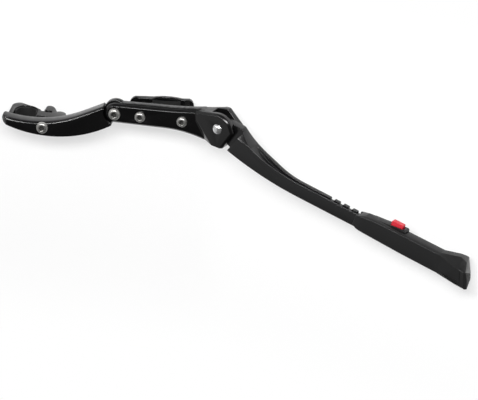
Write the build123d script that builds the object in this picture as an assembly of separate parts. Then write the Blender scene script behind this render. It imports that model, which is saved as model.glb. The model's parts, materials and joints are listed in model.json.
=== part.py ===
from build123d import *
from math import cos, radians, sin, tan
import os

# Bicycle kickstand with two frame clamps, a folding leg and a foot of adjustable length.
# Millimetres. X runs along the bracket towards the foot, Y towards the bicycle and Z towards
# the rear wheel. The origin is the middle of the chainstay, between the two clamp bolts.

# Play and gaps
running_play = 0.05
bolt_play = 0.25
slide_gap = 0.3
lap_gap = 0.15

# Chainstay clamp
stay_width = 15.0
pad_thickness = 2.5
clamp_spacing = 45.0
clamp_bolt_size = 6.0
clamp_head = 11.6
clamp_bolt_reach = 24.0
clamp_nut_flats = 10.0
clamp_nut_height = 5.0

# Bracket bar
body_depth = 12.5
bar_end_radius = 10.8
bar_waist_x = 2.0
bar_waist_top = 11.8
bar_waist_bottom = 11.0
bar_root_x = 46.0
bar_root_top = 15.2
bar_root_bottom = 19.0
bar_bevel = 2.6

# Arm pivot
arm_pivot_x = -50.0
arm_bolt_size = 8.0
arm_bolt_head = 13.0
arm_nut_flats = 13.0
arm_nut_height = 5.5
lug_depth = 7.0
arm_tongue_radius = 12.6

# Stay arm
arm_depth = 14.0
arm_bevel = 2.4
arm_tip_x = -171.8
arm_tip_z = -21.0
arm_tip_top_z = -16.6
arm_tip_low_z = -25.0
arm_nose = 6.5
arm_belly_from_tip = 55.8
arm_bottom_z = -34.6
arm_waist_from_tip = 35.8
arm_waist_z = -19.8
arm_neck_from_pivot = 36.0
arm_neck_z = -6.0
arm_slope = 26.0
arm_horn_from_pivot = 3.0
arm_horn_z = -14.2
hook_from_tip = 44.8
arm_hook_z = -25.0
hook_bolt_size = 8.0
hook_bolt_head = 12.6
hook_bolt_grip = 9.0
hook_nut_flats = 12.5
hook_nut_height = 13.5

# Seatstay jaw
seat_radius = 10.5
seat_from_tip = 21.8
seat_play = 0.2
arm_pad_thickness = 2.0
arm_pad_length = 25.0
arm_pad_height = 9.0
jaw_pad_thickness = 2.0
jaw_wall = 5.0
jaw_height = 14.0
jaw_middle_z = -27.0
jaw_boss_depth = 30.3
jaw_heel = 19.5

# Clamp plate
plate_tilt = 8.1
plate_stand_off = 4.8
plate_thickness = 5.2
plate_height = 22.0
plate_left = 38.5
plate_right = 29.0
plate_hump = 3.6
plate_hump_half = 15.0
plate_arch = 5.6
plate_pad_thickness = 2.0

# Leg hinge
lean = 20.0
crease_x = 32.0
pin_x = 62.5
pin_z = 1.0
hinge_depth = 24.0
cheek_thickness = 6.5
cheek_radius = 16.5
hinge_tip_s = 18.6
hinge_tip_z = -1.5
hinge_corner_s = 5.6
hinge_corner_z = -21.8
hinge_crown_s = -2.0
hinge_lap = 10.0
hinge_top_step = 1.2
hinge_bottom_step = 1.6
ramp_top_s = -31.5
ramp_top_z = 11.0
ramp_low_s = -7.5
ramp_low_z = -19.5
ramp_run = 7.0
ramp_drop = 5.6
pin_size = 8.0
pin_head = 11.0
pin_dome = 3.0
tongue_radius = 10.0
head_angle = 35.5
shoulder_reach = 22.4
fold_angle = 97.0
washer_thickness = 0.8
washer_size = 15.0

# Leg latch
plunger_size = 7.0
plunger_length = 6.0
latch_bore_end = 24.0
latch_wire = 0.8
latch_turns = 4
detent_depth = 1.4

# Leg shaft
facet_top_u = 28.1
facet_top_v = 9.6
facet_low_u = 23.9
facet_low_v = 0.6
facet_end_u = 43.5
facet_end_v = -2.4
shaft_angle = 12.1
shaft_bottom = 29.2
shaft_top = 14.3
shaft_end = 262.0
shaft_start = 108.0
shaft_thickness = 9.0
head_thickness_end = 46.0
neck_u = 24.0
neck_v = 9.4
sweep_u = 62.0
sweep_v = -9.2
front_flange = 1.5
rear_flange = 4.3
groove_depth = 4.5
groove_start = 36.0
rack_first = 145.6
rack_pitch = 11.2
rack_notches = 10
notch_width = 3.2
notch_depth = 2.6

# Foot sleeve
mouth = 178.1
foot_wall = 2.2
pocket_end = 298.0
grip_start = 201.4
grip_middle = 238.4
grip_end = 283.4
flare_end = 307.4
foot_tail = 333.4
grip_top = -8.8
grip_bottom = -31.2
heel_bottom = -33.9
crease_drop = 1.4
crease_depth = 3.4
flare_top = -6.6
flare_back = 9.6
flare_front = 1.4
flare_bevel_deep = 14.0
flare_bevel_tall = 8.0
foot_corner = 1.6
recess_depth = 2.4
foot_end_x = 344.0
sole_thickness = 8.0
sole_seam_y = -141.4
sole_seam_z = -80.0
sole_lean = 26.0
sole_plug = 6.0
sole_plug_size = 7.0
sole_plug_rise = 6.0
sole_plug_depth = 6.0
toe_bevel = 4.0
heel_cut_z = -90.5
heel_cut_rise = 17.6
heel_cut_run = 2.3
heel_cut_top = 10.0
heel_cut_crest = 5.0
hump_start = 197.0
hump_end = 238.2
hump_low = -10.4
hump_high = -5.6
hump_roof = 0.7
hump_wall = 0.95

# Foot button
lever_width = 5.6
lever_thickness = 1.3
lever_pivot_u = 215.6
lever_pivot_v = -11.7
lever_pin_size = 2.0
lever_boss = 2.0
pad_start = 219.2
pad_end = 233.2
pad_top = -2.5
pad_play = 0.9
pawl_notch = 5

# Derived places
body_front = -(stay_width / 2 + pad_thickness + body_depth)
pin_front = body_front - (pin_x - crease_x) * tan(radians(lean))
arm_hook_x = arm_tip_x + hook_from_tip
jaw_heel_x = arm_hook_x + jaw_heel
seat_x = arm_tip_x + seat_from_tip
seat_y = body_front + arm_depth + arm_pad_thickness + seat_radius + seat_play
jaw_back = body_front + jaw_boss_depth
slot_near = cheek_thickness
slot_far = hinge_depth - cheek_thickness
tongue_near = slot_near + washer_thickness + 2 * lap_gap
tongue_far = slot_far - washer_thickness - 2 * lap_gap
pin_near = front_flange / 2
sole_plane = Plane(origin=(foot_end_x, 0, 0), z_dir=(1, 0, 0))
ground_plane = Plane(origin=(foot_end_x + sole_thickness, 0, 0), z_dir=(1, 0, 0))

# Frames: X and Y lie on the front face, depth runs along -Z
bracket_at = Location(Plane(origin=(0, body_front, 0), x_dir=(1, 0, 0), z_dir=(0, -1, 0)))
hinge_plane = Plane(
    origin=(pin_x, pin_front, pin_z),
    x_dir=(cos(radians(lean)), -sin(radians(lean)), 0),
    z_dir=(-sin(radians(lean)), -cos(radians(lean)), 0),
)
hinge_at = Location(hinge_plane)
shaft_at = hinge_at * Rot(0, 0, -shaft_angle)
plan = Plane(origin=(0, 0, 0), x_dir=(1, 0, 0), z_dir=(0, 1, 0))


def slab(face, near, far):
    """Solid from a face drawn on XY, between two depths behind it."""
    return Pos(0, 0, -near) * extrude(face, amount=near - far)


def across(face):
    """Tall solid from a face drawn in plan, along X and the depth."""
    return extrude(plan * face, amount=shaft_start, both=True)


def polar(radius, degrees_up):
    """Point on a circle about the origin."""
    return (radius * cos(radians(degrees_up)), radius * sin(radians(degrees_up)))


def rod(size, near, far):
    """Round bar along the depth."""
    return slab(Circle(size / 2), near, far)


def lying_rod(size, length):
    """Round bar along +X from the origin."""
    return Rot(0, 90, 0) * Cylinder(size / 2, length, align=(Align.CENTER, Align.CENTER, Align.MIN))


def hexagon(flats):
    """Hexagon by its width across flats."""
    return RegularPolygon(flats / 2, 6, major_radius=False)


def socket_bolt(size, head, reach):
    """Button-head bolt with a hexagon socket, head above the origin and shank below it."""
    height = head * 0.3
    crown = head * 0.28
    rim = head * 0.07
    shank = Polyline((0, height), (0, -reach), (size / 2, -reach), (size / 2, 0))
    under = Polyline((size / 2, 0), (head / 2, 0), (head / 2, rim))
    dome = ThreePointArc((head / 2, rim), (head * 0.44, height * 0.75), (crown, height))
    top = Line((crown, height), (0, height))
    bolt = revolve(Plane.XZ * make_face(shank + under + dome + top), Axis.Z)
    socket = Pos(0, 0, height * 0.3) * extrude(hexagon(head * 0.4), amount=height)
    return bolt - socket


def nut(size, flats, height):
    """Plain hexagon nut behind the origin, with play round its bolt."""
    return slab(hexagon(flats) - Circle(size / 2 + running_play), 0, height)


# Bracket
def bracket_bar():
    """Flat bar from the rounded arm end to the root of the hinge."""
    top = Line((arm_pivot_x, bar_end_radius), (bar_waist_x, bar_waist_top))
    rise = TangentArc(top @ 1, (bar_root_x, bar_root_top), tangent=top % 1)
    root = Line(rise @ 1, (bar_root_x, -bar_root_bottom))
    fall = TangentArc((bar_waist_x, -bar_waist_bottom), root @ 1, tangent=(1, 0))
    bottom = Line((bar_waist_x, -bar_waist_bottom), (arm_pivot_x, -bar_end_radius))
    nose = ThreePointArc(bottom @ 1, (arm_pivot_x - bar_end_radius, 0), top @ 0)
    bar = slab(make_face(top + rise + root + fall + bottom + nose), 0, body_depth)
    front = bar.faces().sort_by(Axis.Z)[-1].edges()
    upper = front.filter_by(lambda edge: edge.center().Y > -1 and edge.center().X < bar_root_x - 1)
    bar = chamfer(upper, bar_bevel)
    lap = slab(Pos(arm_pivot_x, 0) * Circle(arm_tongue_radius + slide_gap), lug_depth, body_depth)
    return bar - lap


def hinge_block():
    """Yawed clevis with a ramp down to the bar, two cheeks and a stop lip under the slot."""
    root = (bar_root_x - pin_x) / cos(radians(lean)) - hinge_lap
    root_top = bar_root_top - pin_z - hinge_top_step
    root_bottom = -bar_root_bottom - pin_z + hinge_bottom_step
    tip = (hinge_tip_s, hinge_tip_z)
    corner = (hinge_corner_s, hinge_corner_z)
    arc_start = (hinge_crown_s, cheek_radius)
    top = Line((root, root_top), arc_start)
    crown = ThreePointArc(arc_start, polar(cheek_radius, 55), polar(cheek_radius, 20))
    edges = Polyline(crown @ 1, tip, corner, (root, root_bottom), (root, root_top))
    block = slab(make_face(top + crown + edges), 0, hinge_depth)
    front = block.faces().sort_by(Axis.Z)[-1].edges()
    rim = front.filter_by(lambda edge: edge.center().X > root + 1 and edge.center().Y > 0.7 * hinge_corner_z)
    block = chamfer(rim, bar_bevel * 0.85)
    return block


def ramp_plane():
    """Plane of the ramp that runs from the bar's front face up to the hinge face."""
    upper = Vector(ramp_top_s, ramp_top_z, 0)
    lower = Vector(ramp_low_s, ramp_low_z, 0)
    drop = -(pin_x - crease_x) * tan(radians(lean)) / cos(radians(lean))
    foot_s = lower.X - ramp_run
    foot_n = drop - foot_s * tan(radians(lean))
    foot = Vector(foot_s, lower.Y - ramp_drop, foot_n)
    across = (lower - upper).cross(foot - upper)
    if across.Z < 0:
        across = -across
    return Plane(origin=upper, x_dir=lower - upper, z_dir=across)


def hinge_slot():
    """Space for the leg's tongue: round about the pin, open above and past the stop lip."""
    round_floor = tongue_radius + slide_gap
    reach = 6 * tongue_radius
    above = Pos(reach / 2 - round_floor, reach / 2) * Rectangle(reach, reach)
    beyond = Pos(reach / 2, reach / 2 - round_floor) * Rectangle(reach, reach)
    return Circle(round_floor) + above + Rot(0, 0, -head_angle) * beyond


def bracket_body():
    """Main casting, drilled for its bolts and the leg's pin."""
    block = split(hinge_block(), bisect_by=ramp_plane(), keep=Keep.BOTTOM)
    clear = 2 * hinge_depth
    rear_top = (0.055 * cheek_radius, 1.06 * cheek_radius)
    rear_tip = (1.14 * cheek_radius, 0)
    rear_chamfer = Polyline(rear_top, rear_tip, (clear, 0), (clear, clear), (rear_top[0], clear), close=True)
    block -= slab(make_face(rear_chamfer), slot_far, hinge_depth + 1)
    block -= slab(hinge_slot(), slot_near, slot_far)
    block -= rod(pin_size + 2 * running_play, -1, hinge_depth + 1)
    block = hinge_at * block
    rear = Plane(origin=(0, body_front + body_depth, 0), z_dir=(0, 1, 0))
    block = split(block, bisect_by=rear, keep=Keep.BOTTOM)
    body = bracket_at * bracket_bar() + block
    bore = lying_rod(plunger_size + 2 * running_play, latch_bore_end - tongue_radius + 2)
    body -= hinge_at * Pos(-latch_bore_end, 0, -hinge_depth / 2) * bore
    for x in (-clamp_spacing / 2, clamp_spacing / 2):
        body -= bracket_at * Pos(x, 0) * rod(clamp_bolt_size + 2 * bolt_play, -1, body_depth + 1)
    body -= bracket_at * Pos(arm_pivot_x, 0) * rod(arm_bolt_size + 2 * running_play, -1, body_depth + 1)
    return body


def chainstay_pad():
    """Rubber pad on the bracket's inner face, with ribs along the chainstay."""
    width = clamp_spacing - clamp_bolt_size - 6
    height = bar_waist_top + bar_waist_bottom - 1.5
    middle = (bar_waist_top - bar_waist_bottom) / 2
    rib_depth = pad_thickness * 0.35
    pad = Pos(0, middle) * slab(RectangleRounded(width, height, 3), 0, pad_thickness)
    for column in range(-2, 3):
        groove = Pos(column * width / 6, middle) * Rectangle(1.6, height + 2)
        pad -= slab(groove, pad_thickness - rib_depth, pad_thickness + 1)
    return bracket_at * Pos(0, 0, -body_depth) * pad


def clamp_bolts():
    """Two bolts that draw the clamp plate to the bracket."""
    reach = clamp_bolt_reach - body_front
    bolt = socket_bolt(clamp_bolt_size, clamp_head, reach)
    return [bracket_at * Pos(x, 0) * bolt for x in (-clamp_spacing / 2, clamp_spacing / 2)]


# Clamp plate
plate_at = Pos(0, plate_stand_off) * Rot(0, 0, plate_tilt)


def plate_seat_y(x):
    """Height of the nut seat on the plate's back at one bolt."""
    return plate_stand_off + x * tan(radians(plate_tilt)) + plate_thickness - 1.0


def chainstay_clamp_plate():
    """Bow-shaped plate: two wings, a hump over the chainstay and rounded ends."""
    half = plate_hump_half
    back = plate_thickness
    inner_left = Line((-plate_left, 0), (-half, 0))
    arch = ThreePointArc((-half, 0), (0, plate_arch), (half, 0))
    inner_right = Line((half, 0), (plate_right, 0))
    right_end = ThreePointArc((plate_right, 0), (plate_right - 1.2, back * 0.62), (plate_right - 6, back))
    wing_right = Line((plate_right - 6, back), (half + 1, back))
    hump = ThreePointArc((half + 1, back), (0, back + plate_hump), (-half - 1, back))
    wing_left = Line((-half - 1, back), (-plate_left + 9, back))
    left_end = ThreePointArc((-plate_left + 9, back), (-plate_left + 2, back * 0.55), (-plate_left, 0))
    outline = inner_left + arch + inner_right + right_end + wing_right + hump + wing_left + left_end
    plate = extrude(make_face(outline), amount=plate_height / 2, both=True)
    plate = plate_at * plate
    corner = 6.0
    round_side = RectangleRounded(plate_left + plate_right, plate_height, corner)
    window = Plane.XZ * (Pos((plate_right - plate_left) / 2, 0) * round_side)
    plate &= plate_at * extrude(window, amount=plate_left, both=True)
    for x in (-clamp_spacing / 2, clamp_spacing / 2):
        hole = Rot(90, 0, 0) * Cylinder(clamp_bolt_size / 2 + 2 * bolt_play, 4 * plate_height)
        plate -= Pos(x, 0, 0) * hole
        spot = Rot(0, 0, 90) * lying_rod(clamp_nut_flats * 1.3, plate_thickness * 4)
        plate -= Pos(x, plate_seat_y(x), 0) * spot
    return plate


def clamp_plate_pad():
    """Rubber lining of the plate's arch."""
    half = plate_hump_half - 1.5
    outer = ThreePointArc((-plate_hump_half, 0), (0, plate_arch), (plate_hump_half, 0))
    inner = ThreePointArc((half, 0), (0, plate_arch - plate_pad_thickness), (-half, 0))
    ends = Line((plate_hump_half, 0), (half, 0)) + Line((-half, 0), (-plate_hump_half, 0))
    pad = extrude(make_face(outer + inner + ends), amount=plate_height / 2 - 1.5, both=True)
    return plate_at * pad


def clamp_nuts():
    """Nuts that seat in the plate's spot faces."""
    turned = Rot(90, 0, 0) * nut(clamp_bolt_size, clamp_nut_flats, clamp_nut_height)
    return [Pos(x, plate_seat_y(x), 0) * turned for x in (-clamp_spacing / 2, clamp_spacing / 2)]


# Stay arm
def arm_outline():
    """Curved arm from its square tip to the shoulder round the bracket's end."""
    horn_low = (arm_pivot_x - arm_horn_from_pivot, arm_horn_z)
    tip_low = (arm_tip_x, arm_tip_low_z)
    tip_high = (arm_tip_x, arm_tip_top_z)
    bottom = ThreePointArc(horn_low, (arm_tip_x + arm_belly_from_tip, arm_bottom_z), tip_low)
    tip = Line(tip_low, tip_high)
    neck = (arm_pivot_x - arm_neck_from_pivot, arm_neck_z)
    waist = ThreePointArc(tip_high, (arm_tip_x + arm_waist_from_tip, arm_waist_z), neck)
    slope = Line(waist @ 1, waist @ 1 + (waist % 1) * arm_slope)
    inside = Line(slope @ 1, horn_low)
    return make_face(bottom + tip + waist + slope + inside)


def stay_arm():
    """Arm with a bevelled front edge, a rounded tip and a thin tongue behind the bracket's end."""
    arm = slab(arm_outline(), 0, arm_depth)
    front = arm.faces().sort_by(Axis.Z)[-1].edges()
    upper = front.filter_by(lambda edge: edge.center().Y > arm_tip_z and edge.center().X > arm_tip_x + 1)
    upper = upper.filter_by(lambda edge: edge.center().X < arm_pivot_x - 1.3 * arm_tongue_radius)
    arm = chamfer(upper, arm_bevel)
    nose = arm_nose
    tip_round = Pos(arm_tip_x + nose, arm_tip_z) * Circle(nose)
    behind_nose = -2 * arm_tip_x
    tip_round += Pos(arm_tip_x + nose + behind_nose / 2, arm_tip_z) * Rectangle(behind_nose, behind_nose)
    arm &= slab(tip_round, -1, arm_depth + 1)
    edge = arm_tip_x - 1
    front_corner = Polyline((edge, -1), (arm_tip_x + nose, -1), (edge, nose), close=True)
    back_nose = nose * 0.6
    past = arm_depth + 1
    back_start = arm_tip_x + back_nose
    back_corner = Polyline((edge, past), (back_start, past), (edge, arm_depth - back_nose), close=True)
    arm -= across(make_face(front_corner))
    arm -= across(make_face(back_corner))
    pivot = Pos(arm_pivot_x, 0)
    arm -= slab(pivot * Circle(bar_end_radius + 1.2), -1, lug_depth + lap_gap)
    arm += slab(pivot * Circle(arm_tongue_radius), lug_depth + lap_gap, arm_depth)
    arm -= pivot * rod(arm_bolt_size + 2 * running_play, -1, arm_depth + 1)
    arm -= Pos(arm_hook_x, arm_hook_z) * rod(hook_bolt_size + 2 * running_play, -1, arm_depth + 1)
    return bracket_at * arm


def arm_pad():
    """Rubber strip on the arm's inner face, under the seatstay."""
    strip = Pos(seat_x, jaw_middle_z + 0.6) * RectangleRounded(arm_pad_length, arm_pad_height, 2)
    return bracket_at * slab(strip, arm_depth, arm_depth + arm_pad_thickness)


def arm_pivot_bolt():
    """Bolt that the arm swings on."""
    reach = arm_depth + lap_gap + arm_nut_height + 1.5
    return bracket_at * Pos(arm_pivot_x, 0) * socket_bolt(arm_bolt_size, arm_bolt_head, reach)


def arm_pivot_nut():
    """Nut behind the arm's tongue."""
    place = Pos(arm_pivot_x, 0, -arm_depth - lap_gap)
    return bracket_at * place * nut(arm_bolt_size, arm_nut_flats, arm_nut_height)


# Seatstay jaw
def seatstay_jaw():
    """Hooked jaw: a round pocket for the seatstay, a boss for the bolt and a heel on the arm."""
    pocket = seat_radius + jaw_pad_thickness
    left = seat_x - pocket - jaw_wall
    mouth_y = body_front + arm_depth + arm_pad_thickness + 1.3
    crest = seat_y + pocket + 6.0
    heel_y = body_front + arm_depth + slide_gap
    wall = Line((left, mouth_y), (left, crest - 9))
    shoulder = ThreePointArc(wall @ 1, (left + 2.6, crest - 2.4), (left + 9, crest))
    slope = Line(shoulder @ 1, (seat_x + pocket + 1.5, jaw_back + 3.6))
    cheek = ThreePointArc(slope @ 1, (arm_hook_x - 7.6, jaw_back + 0.9), (arm_hook_x - 6.4, jaw_back))
    seat = Line(cheek @ 1, (arm_hook_x + 6.6, jaw_back))
    heel_back = ThreePointArc(seat @ 1, (jaw_heel_x - 6, jaw_back + 4), (jaw_heel_x, jaw_back - 2.5))
    heel = Polyline(
        heel_back @ 1,
        (jaw_heel_x - 0.6, heel_y),
        (jaw_heel_x - 8.5, heel_y),
        (jaw_heel_x - 12, mouth_y),
        (seat_x + pocket, mouth_y),
        (seat_x + pocket, seat_y),
    )
    bow = ThreePointArc((seat_x + pocket, seat_y), (seat_x, seat_y + pocket), (seat_x - pocket, seat_y))
    inside = Polyline((seat_x - pocket, seat_y), (seat_x - pocket, mouth_y), (left, mouth_y))
    outline = wall + shoulder + slope + cheek + seat + heel_back + heel + bow + inside
    jaw = Pos(0, 0, jaw_middle_z) * extrude(make_face(outline), amount=jaw_height / 2, both=True)
    bolt_hole = rod(hook_bolt_size + 2 * running_play, 0, 3 * jaw_boss_depth)
    return jaw - bracket_at * Pos(arm_hook_x, arm_hook_z) * bolt_hole


def seatstay_jaw_pad():
    """Rubber lining of the jaw's round pocket."""
    ring = Circle(seat_radius + jaw_pad_thickness) - Circle(seat_radius)
    half = ring & (Pos(0, seat_radius) * Rectangle(4 * seat_radius, 2 * seat_radius))
    pad = Pos(seat_x, seat_y, jaw_middle_z) * extrude(half, amount=jaw_height / 2 - 1, both=True)
    return pad


def seatstay_bolt():
    """Bolt through the arm and the jaw."""
    bolt = socket_bolt(hook_bolt_size, hook_bolt_head, jaw_boss_depth + hook_bolt_grip)
    return bracket_at * Pos(arm_hook_x, arm_hook_z) * bolt


def seatstay_cap_nut():
    """Closed nut with a rounded end behind the jaw."""
    blunt = rod(hook_nut_flats * 1.12, 0, hook_nut_height)
    blunt = fillet(blunt.edges().sort_by(Axis.Z)[0], hook_nut_flats * 0.3)
    blunt &= slab(hexagon(hook_nut_flats), -1, hook_nut_height + 1)
    blunt -= rod(hook_bolt_size + 2 * running_play, -1, hook_bolt_grip + slide_gap)
    return bracket_at * Pos(arm_hook_x, arm_hook_z, -jaw_boss_depth) * blunt


# Leg hinge pin
def leg_pivot_pin():
    """Domed rivet through both cheeks, with its far head closed over."""
    rim = 0.6
    far_head = 1.6
    stem = Polyline(
        (0, pin_dome),
        (0, -hinge_depth - far_head),
        (pin_head / 2 - rim, -hinge_depth - far_head),
        (pin_head / 2, -hinge_depth - rim),
        (pin_head / 2, -hinge_depth),
        (pin_size / 2, -hinge_depth),
        (pin_size / 2, 0),
        (pin_head / 2, 0),
        (pin_head / 2, rim),
    )
    crown = pin_head * 0.12
    dome = ThreePointArc((pin_head / 2, rim), (pin_head * 0.35, pin_dome * 0.68), (crown, pin_dome))
    top = Line(dome @ 1, (0, pin_dome))
    return hinge_at * revolve(Plane.XZ * make_face(stem + dome + top), Axis.Z)


def pivot_washers():
    """Thin washers on both sides of the leg's tongue."""
    ring = Circle(washer_size / 2) - Circle(pin_size / 2 + running_play)
    near = slab(ring, slot_near + lap_gap, slot_near + lap_gap + washer_thickness)
    far = slab(ring, slot_far - lap_gap - washer_thickness, slot_far - lap_gap)
    return [hinge_at * near, hinge_at * far]


# Leg latch
def latch_plunger():
    """Round-nosed plunger that rides on the tongue's edge."""
    back = -tongue_radius - slide_gap - plunger_length
    body = lying_rod(plunger_size, plunger_length)
    body = fillet(body.edges().sort_by(Axis.X)[-1], plunger_size * 0.3)
    return hinge_at * Pos(back, 0, -hinge_depth / 2) * body


def latch_spring():
    """Coil spring between the bore's end and the plunger."""
    length = latch_bore_end - tongue_radius - slide_gap - plunger_length - latch_wire
    radius = plunger_size / 2 - latch_wire
    coil = Helix(length / latch_turns, length, radius)
    wire = sweep(Plane(coil @ 0, z_dir=coil % 0) * Circle(latch_wire / 2), path=coil)
    turned = Rot(0, 90, 0) * wire
    return hinge_at * Pos(-latch_bore_end + latch_wire / 2, 0, -hinge_depth / 2) * turned


# Leg
def leg_top(drop):
    """Upper edge of the leg from its shaft back to its head, lowered by some amount."""
    run = Line((shaft_end, -shaft_top - drop), (shaft_start, -shaft_top - drop))
    sweep_low = TangentArc(run @ 1, (sweep_u, sweep_v - drop), tangent=run % 1)
    sweep_high = TangentArc(sweep_low @ 1, (neck_u, neck_v - drop), tangent=sweep_low % 1)
    return run + sweep_low + sweep_high


def leg_side():
    """Side outline of the leg with its round head."""
    turn = shaft_angle - head_angle
    low_tangent = polar(tongue_radius, turn - 90)
    far = Vector(shoulder_reach, -tongue_radius)
    low_corner = (
        far.X * cos(radians(turn)) - far.Y * sin(radians(turn)),
        far.X * sin(radians(turn)) + far.Y * cos(radians(turn)),
    )
    top = leg_top(0)
    high = (neck_u, neck_v)
    high_tangent = polar(tongue_radius, 86)
    neck = Line(high, high_tangent)
    head = ThreePointArc(high_tangent, (-tongue_radius, 0), low_tangent)
    under_neck = Line(low_tangent, low_corner)
    belly = TangentArc((shaft_start, -shaft_bottom), low_corner, tangent=(-1, 0))
    under = Line((shaft_start, -shaft_bottom), (shaft_end, -shaft_bottom))
    end = Line((shaft_end, -shaft_bottom), (shaft_end, -shaft_top))
    return make_face(top + neck + head + under_neck + belly + under + end)


def leg_plan(inset):
    """Plan of the leg's back: thick at the head, thin along the shaft."""
    head_back = tongue_far - inset
    shaft_back = shaft_thickness - inset
    middle = (head_thickness_end + shaft_start) / 2
    half = (head_back + shaft_back) / 2
    back = Line((-3 * tongue_radius, head_back), (head_thickness_end, head_back))
    out = TangentArc(back @ 1, (middle, half), tangent=(1, 0))
    into = TangentArc((shaft_start, shaft_back), (middle, half), tangent=(-1, 0))
    past_head = -3 * tongue_radius
    past_end = shaft_end + shaft_thickness
    before = -shaft_thickness
    rest = Polyline(
        (shaft_start, shaft_back),
        (past_end, shaft_back),
        (past_end, before),
        (past_head, before),
        (past_head, head_back),
    )
    return make_face(back + out + into + rest)


def leg_groove():
    """Groove along the leg's top between its two flanges, running out towards the head."""
    length = shaft_end - groove_start + shaft_thickness
    flange = Pos(groove_start + length / 2, front_flange - shaft_thickness)
    head = Pos(groove_start - shaft_end / 2, 0) * Rectangle(shaft_end, shaft_end)
    floor = leg_plan(rear_flange) - flange * Rectangle(length, 2 * shaft_thickness) - head
    run = Line((shaft_end, -shaft_top - groove_depth), (shaft_start, -shaft_top - groove_depth))
    sweep_low = TangentArc(run @ 1, (sweep_u, sweep_v - groove_depth), tangent=run % 1)
    run_out = TangentArc(sweep_low @ 1, (groove_start, neck_v), tangent=sweep_low % 1)
    lid = Polyline(run_out @ 1, (groove_start, shaft_start), (shaft_end, shaft_start), run @ 0)
    above = slab(make_face(run + sweep_low + run_out + lid), -shaft_thickness, hinge_depth)
    return across(floor) & above


def rack_notch(index):
    """One notch of the rack on the rear flange."""
    middle = rack_first + index * rack_pitch
    half = notch_width / 2
    low = -shaft_top - notch_depth
    outline = Polyline(
        (middle - half - 0.6, -shaft_top + 1),
        (middle - half, low),
        (middle + half, low),
        (middle + half + 1.8, -shaft_top + 1),
        (middle - half - 0.6, -shaft_top + 1),
    )
    return slab(make_face(outline), front_flange + 0.1, shaft_thickness + 1)


def leg():
    """Forged leg: tongue, shoulder, tapering channel and rack."""
    body = slab(leg_side(), 0, tongue_far) & across(leg_plan(0))
    head_size = 5 * shoulder_reach
    head_room = Pos(shoulder_reach - head_size / 2, 0) * Rectangle(head_size, head_size)
    body -= slab(Rot(0, 0, shaft_angle - head_angle) * head_room, -1, tongue_near)
    body -= leg_groove()
    for index in range(rack_notches):
        body -= rack_notch(index)
    corner = Vector(facet_top_u, facet_top_v, -tongue_near)
    low = Vector(facet_low_u, facet_low_v, 0)
    far = Vector(facet_end_u, facet_end_v, 0)
    normal = (low - corner).cross(far - corner)
    if normal.Z < 0:
        normal = -normal
    room = 3 * far.X
    outside = Box(room, room, room / 3, align=(Align.CENTER, Align.CENTER, Align.MIN))
    near_head = Pos(far.X - room / 2 + tongue_radius, 0) * Rectangle(room, room)
    facet = Plane(origin=corner, x_dir=low - corner, z_dir=normal)
    body -= Location(facet) * outside & slab(near_head, -hinge_depth, hinge_depth)
    body -= rod(pin_size + 2 * running_play, -1, hinge_depth)
    detent = Pos(tongue_radius, 0) * Rectangle(2 * detent_depth, plunger_size + 2 * slide_gap)
    for turn in (180, 180 - fold_angle):
        body -= slab(Rot(0, 0, turn + shaft_angle) * detent, -1, hinge_depth)
    return shaft_at * body


# Foot
def foot_section(u, front, back, low, high, bevel_deep, bevel_tall, rear_corner):
    """Eight-sided section of the foot across the shaft."""
    points = [
        (front, low + foot_corner),
        (front, high - bevel_tall),
        (front + bevel_deep, high),
        (back - rear_corner, high),
        (back, high - rear_corner),
        (back, low + foot_corner),
        (back - foot_corner, low),
        (front + foot_corner, low),
    ]
    return make_face(Polyline(*[(u, v, -w) for w, v in points], close=True))


def foot_shell():
    """Outer form of the foot: tapered mouth, long grip and flared end."""
    front = -foot_wall - slide_gap
    back = shaft_thickness + slide_gap + foot_wall * 0.8
    rise = grip_bottom - heel_bottom
    toe = front - flare_front
    heel = back + flare_back
    rear = foot_wall
    crease = (crease_depth, crease_drop)
    flare = (flare_bevel_deep, flare_bevel_tall)
    first = (mouth + grip_start) / 2
    stations = [
        foot_section(mouth, front + 0.4, back - 0.4, grip_bottom + 0.9, grip_top - 3.4, *crease, rear),
        foot_section(first, front, back, grip_bottom + 0.4, grip_top - 2.2, *crease, rear),
        foot_section(grip_start, front, back, grip_bottom, grip_top - 0.8, *crease, rear),
        foot_section(grip_middle, front, back, grip_bottom - 0.42 * rise, grip_top, *crease, rear),
        foot_section(grip_end, front, back + 0.6, grip_bottom - 0.52 * rise, grip_top, *crease, rear),
        foot_section(flare_end, toe, heel, heel_bottom, flare_top, *flare, rear),
        foot_section(foot_tail, toe - 0.3, heel + 0.5, heel_bottom - 0.3, flare_top, *flare, rear),
    ]
    shell = loft(stations[:2], ruled=True)
    for near, far in zip(stations[1:-1], stations[2:]):
        shell += loft([near, far], ruled=True)
    return shell


def heel_cut():
    """Waste above the foot's end, where it slopes back from the ground."""
    end = foot_end_x + sole_thickness
    peak = (end - heel_cut_run, heel_cut_z + heel_cut_rise)
    roof = (peak[0] - heel_cut_top, peak[1] + heel_cut_crest)
    far = end + sole_thickness
    above = Polyline(roof, (roof[0], far), (far, far), (far, heel_cut_z), (end, heel_cut_z))
    outline = Polyline((end, heel_cut_z), peak, roof) + above
    return extrude(Plane.XZ * make_face(outline), amount=foot_end_x, both=True)


def hump_height(u):
    """Height of the hump's roof along the foot."""
    return hump_low + (hump_high - hump_low) * (u - hump_start) / (hump_end - hump_start)


def foot_pocket():
    """Room for the leg's shaft, open at the mouth."""
    start = mouth - shaft_thickness
    height = shaft_bottom - shaft_top + 2 * slide_gap
    middle = Pos((start + pocket_end) / 2, -(shaft_top + shaft_bottom) / 2)
    return slab(middle * Rectangle(pocket_end - start, height), -slide_gap, shaft_thickness + slide_gap)


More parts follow.
